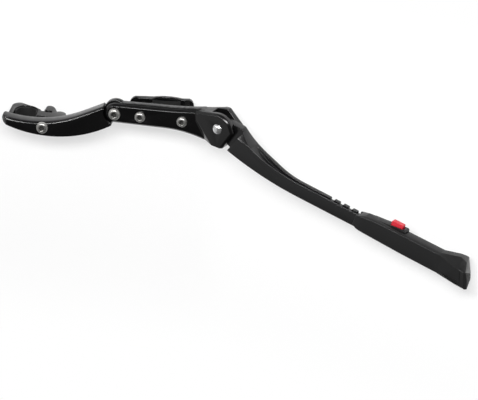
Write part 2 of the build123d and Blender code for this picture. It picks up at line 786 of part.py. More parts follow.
def mouth_cut():
    """Waste in front of the mouth's slanted rim."""
    before = mouth - foot_wall * 2
    rim = Polyline(
        (before, 2 * grip_bottom),
        (mouth + 10, 2 * grip_bottom),
        (mouth + 10, grip_bottom),
        (mouth, grip_bottom + 4.4),
        (mouth + 1.3, -shaft_top - 0.5),
        (mouth + 16, grip_top - 0.6),
        (mouth + 16, 0),
        (before, 0),
        close=True,
    )
    return slab(make_face(rim), -hinge_depth, 2 * hinge_depth)


def toe_recess():
    """Four-sided recess low on the foot's front, over a thin lip."""
    front = -foot_wall - slide_gap
    outline = Polyline(
        (grip_end + 6.6, heel_bottom + 4.9),
        (flare_end + 3.6, heel_bottom + 6.7),
        (flare_end + 6.0, heel_bottom + 1.8),
        (flare_end - 4.4, heel_bottom + 1.7),
        close=True,
    )
    return slab(make_face(outline), 4 * front, front + recess_depth - flare_front)


def lever_room():
    """Slot for the rocker, roofed over its pawl and open over its pad."""
    near, far = lever_slot()
    left = pawl_u() - 3.0
    low = -shaft_top - 2 * slide_gap
    step = pad_start - pad_play
    outline = Polyline(
        (left, low),
        (left, hump_height(left) - hump_roof),
        (step, hump_height(step) - hump_roof),
        (step, -hump_high),
        (pad_end + pad_play, -hump_high),
        (pad_end + pad_play, low),
        close=True,
    )
    return slab(make_face(outline), near, far)


def foot_sleeve():
    """Sleeve over the leg's end with a ramped hump that houses the button."""
    near, far = lever_slot()
    hump_edge = 1.5
    hump = Polyline(
        (hump_start, hump_low),
        (hump_end - hump_edge, hump_high),
        (hump_end, hump_high - hump_edge),
        (hump_end, grip_top - hump_edge),
        (hump_start, hump_low - hump_edge),
        close=True,
    )
    foot = foot_shell() + slab(make_face(hump), near - hump_wall, far + hump_wall)
    foot -= foot_pocket()
    foot -= mouth_cut()
    foot -= lever_room()
    pin_hole = rod(lever_pin_size + 2 * running_play, pin_near - lap_gap, hinge_depth)
    foot -= Pos(lever_pivot_u, lever_pivot_v) * pin_hole
    foot -= toe_recess()
    foot = split(shaft_at * foot, bisect_by=ground_plane, keep=Keep.BOTTOM)
    return foot - heel_cut() - sole_room() - sole_plug_block(0)


def sole_room():
    """Place of the sole: the lower part of the foot's end, under a leaning seam."""
    size = foot_end_x
    room = Box(size, size, size, align=(Align.MIN, Align.CENTER, Align.MAX))
    return Pos(foot_end_x, sole_seam_y, sole_seam_z) * Rot(-sole_lean, 0, 0) * room


def sole_plug_block(play):
    """Plug of the sole in the foot's end, less some play all round."""
    size = sole_plug_size - 2 * play
    start = flare_end - sole_plug + play
    block = Pos((start + foot_tail) / 2, heel_bottom + sole_plug_rise) * Rectangle(foot_tail - start, size)
    plug = shaft_at * slab(block, sole_plug_depth - size / 2, sole_plug_depth + size / 2)
    return split(plug, bisect_by=sole_plane, keep=Keep.BOTTOM)


def foot_sole():
    """Rubber sole, flat on the ground, with a bevelled toe and a plug in the foot."""
    pad = split(shaft_at * foot_shell(), bisect_by=sole_plane, keep=Keep.TOP)
    pad = split(pad, bisect_by=ground_plane, keep=Keep.BOTTOM) & sole_room()
    toe = Vector(foot_end_x + sole_thickness, pad.bounding_box().min.Y + toe_bevel, 0)
    out = hinge_plane.z_dir + Vector(1, 0, 0)
    pad = split(pad, bisect_by=Plane(origin=toe, z_dir=out), keep=Keep.BOTTOM)
    return pad - heel_cut() + sole_plug_block(lap_gap)


# Foot button
def pawl_u():
    """Place of the pawl along the shaft, over a notch of the rack."""
    return rack_first + pawl_notch * rack_pitch


def lever_slot():
    """Depths of the slot that the lever works in, over the rack."""
    middle = (front_flange + shaft_thickness) / 2 + 0.4
    half = lever_width / 2 + slide_gap
    return middle - half, middle + half


def foot_button():
    """Red rocker: a thumb pad at one end and a pawl at the other."""
    near, far = lever_slot()
    tip = -shaft_top + slide_gap + running_play
    arm_low = lever_pivot_v - lever_boss + 0.4
    arm_top = arm_low + lever_thickness
    edge = 0.8
    arm = Polyline(
        (pawl_u() - 1.6, arm_top),
        (lever_pivot_u, arm_top),
        (pad_start, lever_pivot_v + 1.4),
        (pad_start, pad_top - edge),
        (pad_start + edge, pad_top),
        (pad_end - edge, pad_top),
        (pad_end, pad_top - edge),
        (pad_end, lever_pivot_v - 0.6),
        (lever_pivot_u, arm_low),
        (pawl_u() + 1.3, arm_low),
        (pawl_u() + 0.8, tip),
        (pawl_u() - 0.9, tip),
        (pawl_u() - 1.6, arm_low),
        close=True,
    )
    lever = slab(make_face(arm), near + slide_gap, far - slide_gap)
    lever += Pos(lever_pivot_u, lever_pivot_v) * rod(2 * lever_boss, near + slide_gap, far - slide_gap)
    lever -= Pos(lever_pivot_u, lever_pivot_v) * rod(lever_pin_size + 2 * running_play, -1, hinge_depth)
    return shaft_at * lever


def button_pin():
    """Cross pin of the rocker."""
    back = shaft_thickness + slide_gap + foot_wall * 0.8
    return shaft_at * Pos(lever_pivot_u, lever_pivot_v) * rod(lever_pin_size, pin_near, back - 0.4)


def button_spring():
    """Leaf spring between the hump's roof and the pawl."""
    near, far = lever_slot()
    thickness = 0.35
    foot_level = lever_pivot_v - lever_boss + 0.4 + lever_thickness + 0.02
    start = pawl_u() - 1.0
    finish = lever_pivot_u - lever_boss - 0.8
    middle = (start + finish) / 2
    peak = hump_height(start) - hump_roof - 0.05
    lower = ThreePointArc((start, foot_level), (middle, peak - thickness), (finish, foot_level))
    upper = ThreePointArc((finish, foot_level + thickness), (middle, peak), (start, foot_level + thickness))
    ends = Line(lower @ 1, upper @ 0) + Line(upper @ 1, lower @ 0)
    return shaft_at * slab(make_face(lower + ends + upper), near + 0.8, far - 0.8)


pieces = {
    "bracket_body": bracket_body(),
    "chainstay_pad": chainstay_pad(),
    "clamp_bolts": clamp_bolts(),
    "chainstay_clamp_plate": chainstay_clamp_plate(),
    "clamp_plate_pad": clamp_plate_pad(),
    "clamp_nuts": clamp_nuts(),
    "stay_arm": stay_arm(),
    "arm_pad": arm_pad(),
    "arm_pivot_bolt": arm_pivot_bolt(),
    "arm_pivot_nut": arm_pivot_nut(),
    "seatstay_jaw": seatstay_jaw(),
    "seatstay_jaw_pad": seatstay_jaw_pad(),
    "seatstay_bolt": seatstay_bolt(),
    "seatstay_cap_nut": seatstay_cap_nut(),
    "leg_pivot_pin": leg_pivot_pin(),
    "pivot_washers": pivot_washers(),
    "latch_plunger": latch_plunger(),
    "latch_spring": latch_spring(),
    "leg": leg(),
    "foot_sleeve": foot_sleeve(),
    "foot_sole": foot_sole(),
    "foot_button": foot_button(),
    "button_pin": button_pin(),
    "button_spring": button_spring(),
}

os.makedirs("parts", exist_ok=True)
for name, piece in pieces.items():
    solid = Compound(children=piece) if isinstance(piece, list) else piece
    export_step(solid, f"parts/{name}.step")
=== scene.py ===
"""Bicycle kickstand: painted clamps, forged leg, moulded foot with a red button, and a white studio."""

import json
import math

import bmesh
import bpy
from bpy.props import FloatProperty, FloatVectorProperty, IntProperty, PointerProperty
from mathutils import Matrix, Vector


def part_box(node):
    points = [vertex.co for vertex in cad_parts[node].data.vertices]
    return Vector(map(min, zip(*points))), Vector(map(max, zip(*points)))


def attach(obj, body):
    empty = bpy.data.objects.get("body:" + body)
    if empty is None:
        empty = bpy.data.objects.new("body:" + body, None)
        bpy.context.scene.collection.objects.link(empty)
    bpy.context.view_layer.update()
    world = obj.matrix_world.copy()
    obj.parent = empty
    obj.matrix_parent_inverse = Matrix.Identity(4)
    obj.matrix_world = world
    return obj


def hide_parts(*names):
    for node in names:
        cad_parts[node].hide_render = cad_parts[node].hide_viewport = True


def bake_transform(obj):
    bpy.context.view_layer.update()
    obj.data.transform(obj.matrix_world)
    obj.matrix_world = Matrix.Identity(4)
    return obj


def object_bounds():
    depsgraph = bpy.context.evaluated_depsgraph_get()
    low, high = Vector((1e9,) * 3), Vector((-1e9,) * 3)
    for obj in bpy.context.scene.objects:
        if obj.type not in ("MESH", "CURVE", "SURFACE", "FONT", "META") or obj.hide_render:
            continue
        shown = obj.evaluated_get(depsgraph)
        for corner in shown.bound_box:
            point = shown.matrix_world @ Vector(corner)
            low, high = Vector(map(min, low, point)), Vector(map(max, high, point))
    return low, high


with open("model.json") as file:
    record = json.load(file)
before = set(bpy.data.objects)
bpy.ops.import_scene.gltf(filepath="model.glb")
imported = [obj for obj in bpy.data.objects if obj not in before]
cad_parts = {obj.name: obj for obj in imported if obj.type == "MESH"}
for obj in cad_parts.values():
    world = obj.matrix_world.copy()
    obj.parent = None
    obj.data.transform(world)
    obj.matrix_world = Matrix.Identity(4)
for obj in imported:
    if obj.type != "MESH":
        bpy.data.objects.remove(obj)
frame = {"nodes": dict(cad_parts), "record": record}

bl_info = {
    "name": "Bicycle kickstand",
    "version": (1, 0, 0),
    "blender": (4, 5, 0),
    "location": "View3D > Sidebar > Kickstand",
    "description": "Dresses the packed kickstand with finished pieces, materials and a studio",
    "category": "Object",
}

CAD_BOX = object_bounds()
MM = 0.001

# Surfaces: the span in which most noise lies, how patches and rubbed edges show on paint and on metal, and
# how dark metal's tarnish and the painted shade in bolt sockets are
NOISE_SPAN = (0.3, 0.7)
PATCH_SHARE = 0.12
TARNISH_SHARE = 0.22
TARNISH_AND_SHADE_TONE = 0.2
TARNISH_PER_METRE = 240
METAL_RUB_START = 0.52

# Rounded edges
SHARP_ANGLE = math.radians(24)  # edges that turn by more than this are rounded
FLAT_ANGLE = math.radians(0.1)  # faces that turn by less than this are joined
WELD_REACH = 0.002 * MM         # corners nearer than this are joined
FACE_SHARE = 0.45               # share of a face's width that one round may take
BESIDE = 0.02                   # share of an edge near its ends that has nothing across from it
EDGE_STEP = 3.0 * MM            # long edges are divided into steps of at least this
ROOM_GAIN = 0.15                # how quickly a round widens along an edge
ROOM_SWEEPS = 40                # passes that carry the narrowing on from corner to corner
CRISP_SHARE = 0.1               # an edge with less than this share of its round stays crisp

# Bolt heads, in shares of the head's width
HEAD_HEIGHT = 0.3
CROWN_RADIUS = 0.28
RIM_HEIGHT = 0.07
SOFT_EDGE = 0.02
SOCKET_FLATS = 0.44
SOCKET_MOUTH = 0.488

# Bolt threads: depth as a share of the pitch, steepness of the ridge, radii of the tip as shares of the
# thread's core, and the share of the shank that stays plain
THREAD_DEPTH = 0.549
THREAD_SLOPE = 1.35
TIP_SHARES = (0.9, 0.96)
PLAIN_SHARE = 0.25

# Bolt meshes: how finely they are divided, the number of rings in the socket that get painted shade, how far
# round the first bolt and each next one are turned, in radians, and the angle from which their edges stay
# crisp
BOLT_COLUMNS = 48
THREAD_STEPS = 6
CROWN_STEPS = 8
SOCKET_RINGS = 3
FIRST_TURN = 0.3
NEXT_TURN = 0.5
BOLT_SHARP_ANGLE = math.radians(38)

# White sheet: how far it reaches each way, how it bends behind the leg, and its tone
SHEET_REACH = 600.0 * MM
SHEET_BEND = math.radians(24)
SHEET_RADIUS = 100.0 * MM
SHEET_STEPS = 24
PAPER_TONE = 0.9

# Height of the shadow's middle on the sheet, and where the sheet turns plain white above and below it
SHADOW_LEVEL = -50.0 * MM
SHADOW_REACH = (100.0 * MM, 240.0 * MM)

# Dark card: its gap to the sheet, its rise above the bracket's pad, its height and its tone
CARD_GAP = 1.0 * MM
CARD_RISE = 18.5 * MM
CARD_HEIGHT = 60.0 * MM
CARD_TONE = 0.01

# World: how far up, and how far to the left, a direction points where the added light starts and is full
CEILING_SPAN = (0.1, 0.95)
LEFT_SPAN = (0.3, 0.75)

# Lamps: places from the object's middle, and widths and heights, in metres
KEY_PLACE = Vector((0.1, -1.75, 1.25))
KEY_SIZE = (1.3, 0.4)
STRIP_PLACE = Vector((-1.15, -1.35, 1.25))
STRIP_SIZE = (1.0, 0.14)
BACK_PLACE = Vector((0.1, 0.9, 0.8))
BACK_SIZE = (0.9, 0.9)

# The photograph: its frame, the size of a pixel and the place of the bracket's front face
PHOTO_WIDTH = 478
PHOTO_HEIGHT = 400
PHOTO_PIXEL = 1.05 * MM
BRACKET_PIXEL = Vector((161.0, 119.25))

# Camera: how far round to the right, how far up and how far rolled it is, and its sight in metres
CAMERA_TURN = math.radians(10.5)
CAMERA_RISE = math.radians(25)
CAMERA_ROLL = math.radians(2.1)
CAMERA_SIGHT = 100


# Settings


def colour(label, text, default):
    """Colour property with the usual limits."""
    return FloatVectorProperty(
        name=label, description=text, default=default, subtype="COLOR", size=3, min=0, max=1
    )


def length(label, text, default):
    """Length property in metres."""
    return FloatProperty(name=label, description=text, default=default, min=0, unit="LENGTH", precision=5)


def strength(label, text, default):
    """Strength property of light from all around."""
    return FloatProperty(name=label, description=text, default=default, min=0)


def power(label, text, default):
    """Power property of a lamp in watts."""
    return FloatProperty(name=label, description=text, default=default, min=0, unit="POWER")


class KickstandFinishes(bpy.types.PropertyGroup):
    """Colours of the kickstand's surfaces."""

    paint: colour("Black paint", "Clamps, arm and bracket", (0.0028, 0.0027, 0.0028))
    leg: colour("Leg", "Forged leg", (0.004, 0.004, 0.0042))
    foot: colour("Foot", "Moulded foot", (0.0042, 0.0042, 0.0044))
    button: colour("Button", "Release button", (0.5, 0.01, 0.024))
    rubber: colour("Rubber", "Pads and sole", (0.005, 0.005, 0.0052))
    steel: colour("Bolt steel", "Plated bolts and nuts", (0.4, 0.395, 0.38))
    chrome: colour("Pin chrome", "Hinge rivet", (0.78, 0.785, 0.79))
    spring: colour("Spring steel", "Coil and leaf springs", (0.33, 0.33, 0.335))


class KickstandSizes(bpy.types.PropertyGroup):
    """Small sizes that the finished pieces add to the frame."""

    casting_round: length("Casting edge", "Rounding of the painted castings", 0.7 * MM)
    arm_round: length("Arm edge", "Rounding of the curved arm", 1.0 * MM)
    leg_round: length("Leg edge", "Rounding of the forged leg", 0.55 * MM)
    foot_round: length("Foot edge", "Rounding of the moulded foot", 0.6 * MM)
    button_round: length("Button edge", "Rounding of the button", 0.45 * MM)
    rubber_round: length("Rubber edge", "Rounding of pads and sole", 0.35 * MM)
    fastener_round: length("Fastener edge", "Edge break of nuts, washers and pins", 0.2 * MM)
    clamp_thread: length("Clamp bolt", "Thread size of the chainstay bolts", 6 * MM)
    pivot_thread: length("Pivot bolt", "Thread size of the arm's and jaw's bolts", 8 * MM)
    thread_pitch: length("Thread pitch", "Pitch of every bolt thread", 1.1 * MM)
    edge_steps: IntProperty(name="Edge steps", description="Segments round an edge", default=3, min=1)


class KickstandStudio(bpy.types.PropertyGroup):
    """Sheet, lamps and camera."""

    sheet_gap: length("Sheet gap", "Room behind the clamp plate for its travel", 12 * MM)
    whiteness: FloatProperty(
        name="Whiteness",
        description="Share of plain white in the sheet",
        default=0.5,
        min=0,
        max=1,
        subtype="FACTOR",
    )
    room: strength("Room", "Dim light from everywhere", 0.048)
    ceiling: strength("Ceiling", "Added light from above", 0.06)
    left_side: strength("Left side", "Added light from the left", 0.47)
    key_power: power("Key lamp", "Broad lamp in front", 44.0)
    strip_power: power("Strip lamp", "Narrow lamp in front, at the left", 20.0)
    back_power: power("Back lamp", "Square lamp above and behind", 5.0)
    lens: FloatProperty(name="Lens", description="Focal length", default=900.0, unit="CAMERA")


def finishes():
    """Colours in use."""
    return bpy.context.scene.kickstand_finishes


def sizes():
    """Small sizes in use."""
    return bpy.context.scene.kickstand_sizes


def studio():
    """Studio settings in use."""
    return bpy.context.scene.kickstand_studio


# Shader nodes and node groups


def maths(tree, operation, first, second=0.0):
    """Math node whose arguments are sockets or plain numbers."""
    node = tree.nodes.new("ShaderNodeMath")
    node.operation = operation
    for socket, value in zip(node.inputs, (first, second)):
        if isinstance(value, bpy.types.NodeSocket):
            tree.links.new(value, socket)
        else:
            socket.default_value = value
    return node.outputs[0]


def ramp(tree, value, start, finish, height):
    """Smooth rise of a value from nothing to some height."""
    node = tree.nodes.new("ShaderNodeMapRange")
    node.interpolation_type = "SMOOTHSTEP"
    node.inputs["From Min"].default_value = start
    node.inputs["From Max"].default_value = finish
    node.inputs["To Max"].default_value = height
    tree.links.new(value, node.inputs["Value"])
    return node.outputs["Result"]


def noise(tree, place, scale, detail):
    """Noise value at a place, with its scale from a socket."""
    node = tree.nodes.new("ShaderNodeTexNoise")
    node.inputs["Detail"].default_value = detail
    tree.links.new(place, node.inputs["Vector"])
    tree.links.new(scale, node.inputs["Scale"])
    return node.outputs["Fac"]


def object_place(tree):
    """Coordinates fixed to the piece, in metres."""
    return tree.nodes.new("ShaderNodeTexCoord").outputs["Object"]


def new_group(name, inputs, outputs):
    """Empty shader group with float inputs, each with its default, and float outputs."""
    group = bpy.data.node_groups.new(name, "ShaderNodeTree")
    for label, default in inputs.items():
        socket = group.interface.new_socket(name=label, in_out="INPUT", socket_type="NodeSocketFloat")
        socket.default_value = default
    for label in outputs:
        group.interface.new_socket(name=label, in_out="OUTPUT", socket_type="NodeSocketFloat")
    return group, group.nodes.new("NodeGroupInput"), group.nodes.new("NodeGroupOutput")


def surface_grain_group():
    """Fine grain for every surface: a height, and a slow mottle for gloss and colour."""
    group, entry, leave = new_group(
        "surface_grain", {"Grains per metre": 2500.0, "Mottle per metre": 60.0}, ("Height", "Mottle")
    )
    place = object_place(group)
    fine = noise(group, place, entry.outputs["Grains per metre"], detail=2.0)
    slow = noise(group, place, entry.outputs["Mottle per metre"], detail=3.0)
    group.links.new(fine, leave.inputs["Height"])
    group.links.new(slow, leave.inputs["Mottle"])


def edge_rub_group():
    """Mask of rubbed edges, broken up by noise."""
    group, entry, leave = new_group(
        "edge_rub", {"Start": 0.53, "Reach": 0.1, "Breaks per metre": 700.0}, ("Mask",)
    )
    bend = group.nodes.new("ShaderNodeNewGeometry").outputs["Pointiness"]
    over = maths(group, "SUBTRACT", bend, entry.outputs["Start"])
    share = maths(group, "DIVIDE", over, entry.outputs["Reach"])
    breaks = noise(group, object_place(group), entry.outputs["Breaks per metre"], detail=3.0)
    mask = maths(group, "MULTIPLY", share, breaks)
    node = group.nodes.new("ShaderNodeClamp")
    group.links.new(mask, node.inputs["Value"])
    group.links.new(node.outputs[0], leave.inputs["Mask"])


# Materials


class Finish:
    """A new material with its Principled shader and short ways to wire it."""

    def __init__(self, name):
        self.material = bpy.data.materials.new(name)
        self.material.use_nodes = True
        self.tree = self.material.node_tree
        self.shader = self.tree.nodes["Principled BSDF"]

    def set(self, **values):
        """Sets plain values on the shader's sockets."""
        for label, value in values.items():
            self.shader.inputs[label.replace("_", " ")].default_value = value

    def group(self, name, **values):
        """Places a node group with this finish's own values."""
        node = self.tree.nodes.new("ShaderNodeGroup")
        node.node_tree = bpy.data.node_groups[name]
        for label, value in values.items():
            node.inputs[label.replace("_", " ")].default_value = value
        return node

    def vary_colour(self, base, other, mask):
        """Mixes two colours by a mask into Base Color."""
        node = self.tree.nodes.new("ShaderNodeMix")
        node.data_type = "RGBA"
        node.inputs["A"].default_value = (*base, 1)
        node.inputs["B"].default_value = (*other, 1)
        self.tree.links.new(mask, node.inputs["Factor"])
        self.tree.links.new(node.outputs["Result"], self.shader.inputs["Base Color"])

    def vary_roughness(self, low, high, mottle):
        """Roughness between two values by a slow noise."""
        node = self.tree.nodes.new("ShaderNodeMapRange")
        for label, value in zip(("From Min", "From Max", "To Min", "To Max"), (*NOISE_SPAN, low, high)):
            node.inputs[label].default_value = value
        self.tree.links.new(mottle, node.inputs["Value"])
        self.tree.links.new(node.outputs["Result"], self.shader.inputs["Roughness"])

    def bump(self, height, depth):
        """Bump of a real depth in metres."""
        node = self.tree.nodes.new("ShaderNodeBump")
        node.inputs["Distance"].default_value = depth
        node.inputs["Strength"].default_value = 1.0
        self.tree.links.new(height, node.inputs["Height"])
        self.tree.links.new(node.outputs["Normal"], self.shader.inputs["Normal"])


def scaled(tone, factor):
    """A colour made lighter or darker by a factor, and kept under white."""
    return tuple(min(1.0, part * factor) for part in tone)


def grained_finish(name, tone, grains, mottle, depth, rough, edge_tone=3.0):
    """Paint, plastic or rubber: fine grain, slow mottle and slightly rubbed edges."""
    finish = Finish(name)
    grain = finish.group("surface_grain", Grains_per_metre=grains, Mottle_per_metre=mottle)
    rub = finish.group("edge_rub")
    patch = maths(finish.tree, "MULTIPLY", grain.outputs["Mottle"], PATCH_SHARE)
    mask = maths(finish.tree, "ADD", patch, rub.outputs["Mask"])
    finish.vary_colour(tone, scaled(tone, edge_tone), mask)
    finish.vary_roughness(*rough, grain.outputs["Mottle"])
    finish.bump(grain.outputs["Height"], depth)
    return finish


def black_paint():
    """Satin black powder paint on the castings."""
    finish = grained_finish(
        "black_paint", finishes().paint, grains=1500, mottle=45, depth=0.002 * MM, rough=(0.17, 0.22)
    )
    finish.set(Specular_IOR_Level=0.5)
    return finish.material


def leg_paint():
    """Dark grey satin coat on the forged leg."""
    finish = grained_finish(
        "grey_leg", finishes().leg, grains=1900, mottle=35, depth=0.003 * MM, rough=(0.21, 0.27)
    )
    finish.set(Specular_IOR_Level=0.45)
    return finish.material


def foot_plastic():
    """Matte moulded plastic with a spark-eroded grain."""
    finish = grained_finish(
        "foot_plastic",
        finishes().foot,
        grains=2600,
        mottle=60,
        depth=0.025 * MM,
        rough=(0.32, 0.42),
        edge_tone=2.2,
    )
    finish.set(Specular_IOR_Level=0.4)
    return finish.material


def pad_rubber():
    """Black rubber with a dull fine grain."""
    finish = grained_finish(
        "pad_rubber",
        finishes().rubber,
        grains=3200,
        mottle=90,
        depth=0.03 * MM,
        rough=(0.62, 0.78),
        edge_tone=2.5,
    )
    finish.set(Specular_IOR_Level=0.35)
    return finish.material


def button_red():
    """Glossy red moulding."""
    finish = grained_finish(
        "button_red",
        finishes().button,
        grains=1400,
        mottle=120,
        depth=0.003 * MM,
        rough=(0.26, 0.36),
        edge_tone=1.25,
    )
    finish.set(Specular_IOR_Level=0.5, Coat_Weight=0.2, Coat_Roughness=0.15)
    return finish.material


def metal(name, tone, grains, depth, rough, bare=1.0):
    """Plated or bare metal: fine grain, darker patches, painted shade in recesses, and edges rubbed clean.
    """
    finish = Finish(name)
    finish.set(Metallic=bare)
    grain = finish.group("surface_grain", Grains_per_metre=grains, Mottle_per_metre=TARNISH_PER_METRE)
    rub = finish.group("edge_rub", Start=METAL_RUB_START)
    patch = maths(finish.tree, "MULTIPLY", grain.outputs["Mottle"], TARNISH_SHARE)
    # Painted shade: the bolt sockets' deepest rings are darkened in colour, by the mask that lathe marks on
    # them
    recess = finish.tree.nodes.new("ShaderNodeAttribute")
    recess.attribute_name = "recess"
    tarnish_and_shade = maths(finish.tree, "ADD", patch, recess.outputs["Fac"])
    mask = maths(finish.tree, "SUBTRACT", tarnish_and_shade, rub.outputs["Mask"])
    finish.vary_colour(tone, scaled(tone, TARNISH_AND_SHADE_TONE), mask)
    finish.vary_roughness(*rough, grain.outputs["Mottle"])
    finish.bump(grain.outputs["Height"], depth)
    return finish.material


def bolt_steel():
    """Dull zinc-plated steel with a sparkling grain."""
    return metal(
        "bolt_steel", finishes().steel, grains=1100, depth=0.12 * MM, rough=(0.26, 0.44), bare=0.85
    )


def pin_chrome():
    """Bright satin-polished rivet."""
    return metal(
        "pin_chrome", finishes().chrome, grains=1200, depth=0.002 * MM, rough=(0.16, 0.22), bare=0.85
    )


def spring_steel():
    """Oiled spring wire."""
    return metal("spring_steel", finishes().spring, grains=2400, depth=0.006 * MM, rough=(0.3, 0.42))


MATERIALS = {
    "black_paint": black_paint,
    "grey_leg": leg_paint,
    "foot_plastic": foot_plastic,
    "pad_rubber": pad_rubber,
    "button_red": button_red,
    "bolt_steel": bolt_steel,
    "pin_chrome": pin_chrome,
    "spring_steel": spring_steel,
}


def material(slot):
    """Finished material of a slot, made once."""
    if not bpy.data.node_groups.get("surface_grain"):
        surface_grain_group()
        edge_rub_group()
    made = bpy.data.materials.get(f"{slot}_finish")
    if made is None:
        made = MATERIALS[slot]()
        made.name = f"{slot}_finish"
    return made


# Pieces in the frame


def node_body(node):
    """Name of the body that carries a node."""
    for body, members in frame["record"]["behaviour"]["bodies"].items():
        if node in members:
            return body
    raise RuntimeError(f"no body carries {node}")


def node_slot(node):
    """Material slot of a node, from its frame mesh."""
    return frame["nodes"][node].data.materials[0].name


def node_mesh(node, name):
    """Copy of a node's mesh, under a name of its own."""
    mesh = frame["nodes"][node].data.copy()
    mesh.name = name
    return mesh


def placed(name, data):
    """New object in the scene."""
    thing = bpy.data.objects.new(name, data)
    bpy.context.scene.collection.objects.link(thing)
    return thing


def dressed_piece(name, mesh, node):
    """Object that stands for a node, with its slot and material."""
    piece = placed(name, mesh)
    slot = node_slot(node)
    mesh.materials.clear()
    mesh.materials.append(material(slot))
    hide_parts(node)
    return piece


def finished_piece(name, mesh, node):
    """Dressed piece that rides on its node's body."""
    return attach(dressed_piece(name, mesh, node), node_body(node))


def flexing_spring(node, name):
    """Spring as its node's mesh, with its slot and material, standing still where the frame puts it."""
    mesh = node_mesh(node, name)
    piece = dressed_piece(name, mesh, node)
    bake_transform(piece)
    return piece


# Rounded pieces


def sharp_edges(work):
    """Edges that turn by more than the angle of a soft facet, in the mesh's order."""
    return [edge for edge in work.edges if edge.is_manifold and edge.calc_face_angle() > SHARP_ANGLE]


def divide_long_edges(work):
    """Divides long sharp edges, so that a round can narrow near one end alone."""
    for edge in sharp_edges(work):
        cuts = int(edge.calc_length() / EDGE_STEP) - 1
        if cuts > 0:
            bmesh.ops.bisect_edges(work, edges=[edge], cuts=cuts)


def across_room(work):
    """Widest round at each corner that leaves every face whole, by what lies across the face from it."""
    room = {corner: math.inf for corner in work.verts}
    for face in work.faces:
        for edge in face.edges:
            start, end = edge.verts
            along = end.co - start.co
            for corner in face.verts:
                share = along.dot(corner.co - start.co) / along.length_squared
                if corner in edge.verts or not BESIDE < share < 1 - BESIDE:
                    continue
                reach = FACE_SHARE * (corner.co - start.co - along * share).length
                for near in (start, end, corner):
                    room[near] = min(room[near], reach)
    return room


def spread_room(room, edges):
    """Passes the narrowing of tight corners on along the edges, so that a round widens gradually."""
    for _ in range(ROOM_SWEEPS):
        for edge in edges:
            start, end = edge.verts
            gain = ROOM_GAIN * edge.calc_length()
            room[start] = min(room[start], room[end] + gain)
            room[end] = min(room[end], room[start] + gain)


def mark_sharp_edges(work, radius, narrowing, inner):
    """Gives every sharp edge its share of a round, which may narrow gradually towards tight places."""
    share = work.edges.layers.float.new("bevel_weight_edge")
    if narrowing:
        divide_long_edges(work)
    sharp = sharp_edges(work)
    for edge in sharp:
        edge.smooth = False
    if not inner:
        sharp = [edge for edge in sharp if edge.is_convex]
    room = dict.fromkeys(work.verts, radius)
    if narrowing:
        room = across_room(work)
        spread_room(room, sharp)
    for edge in sharp:
        edge[share] = min(1.0, min(room[corner] for corner in edge.verts) / radius)
        edge.smooth = edge[share] > CRISP_SHARE


def clean_mesh(node, name, radius, narrowing, inner):
    """Copy of a node's mesh with its seams welded, its flat faces whole and its sharp edges marked."""
    mesh = node_mesh(node, name)
    work = bmesh.new()
    work.from_mesh(mesh)
    bmesh.ops.remove_doubles(work, verts=work.verts, dist=WELD_REACH)
    bmesh.ops.dissolve_limit(
        work, angle_limit=FLAT_ANGLE, use_dissolve_boundaries=False, verts=work.verts, edges=work.edges
    )
    bmesh.ops.recalc_face_normals(work, faces=work.faces)
    for face in work.faces:
        face.smooth = True
    mark_sharp_edges(work, radius, narrowing, inner)
    work.to_mesh(mesh)
    work.free()
    return mesh


def rounded_piece(node, name, radius, narrowing=False, inner=True):
    """A node's form with clean shading and rounded sharp edges, of which the inner ones can stay crisp."""
    piece = finished_piece(name, clean_mesh(node, name, radius, narrowing, inner), node)
    bevel = piece.modifiers.new("rounded_edges", "BEVEL")
    bevel.limit_method = "WEIGHT"
    bevel.width = radius
    bevel.segments = sizes().edge_steps
    bevel.use_clamp_overlap = False
    bevel.harden_normals = True
    return piece


# Bolts


def lathe(rings, columns, recessed):
    """Closed mesh from rings of (height, radius at each angle) along +Z, the last few marked for painted
    shade in a recess.
    """
    work = bmesh.new()
    recess = work.verts.layers.float.new("recess")
    loops = []
    for height, radii in rings:
        loop = []
        for column in range(columns):
            angle = 2 * math.pi * column / columns
            reach = radii(angle)
            loop.append(work.verts.new((reach * math.cos(angle), reach * math.sin(angle), height)))
        loops.append(loop)
    # Painted shade: these socket rings are marked to be darkened in colour
    for corner in sum(loops[-recessed:], []):
        corner[recess] = 1.0
    for lower, upper in zip(loops, loops[1:]):
        for column in range(columns):
            after = (column + 1) % columns
            work.faces.new((lower[column], lower[after], upper[after], upper[column]))
    work.faces.new(list(reversed(loops[0])))
    work.faces.new(loops[-1])
    bmesh.ops.recalc_face_normals(work, faces=work.faces)
    for face in work.faces:
        face.smooth = True
    return work


def level(radius):
    """Radius that is the same all round."""
    return lambda angle: radius


def hexagon(flats):
    """Radius of a hexagon at each angle."""
    sector = math.pi / 3
    return lambda angle: flats / 2 / math.cos((angle % sector) - sector / 2)


def thread_rings(size, reach, pitch):
    """Rings of a threaded shank, from its tip up to the head's seat at no height."""
    core = size / 2 - THREAD_DEPTH * pitch
    rings = [(-reach, level(core * share)) for share in TIP_SHARES]
    plain = min(PLAIN_SHARE * reach, size)
    threaded = reach - plain - pitch
    for step in range(int(threaded / pitch * THREAD_STEPS)):
        base = -reach + 0.5 * pitch + step * pitch / THREAD_STEPS

        def ridge(angle, base=base):
            phase = (base / pitch + angle / (2 * math.pi)) % 1
            return core + (size / 2 - core) * min(1, THREAD_SLOPE * (1 - abs(2 * phase - 1)))

        rings.append((base, ridge))
    return rings + [(-plain, level(size / 2)), (0, level(size / 2))]


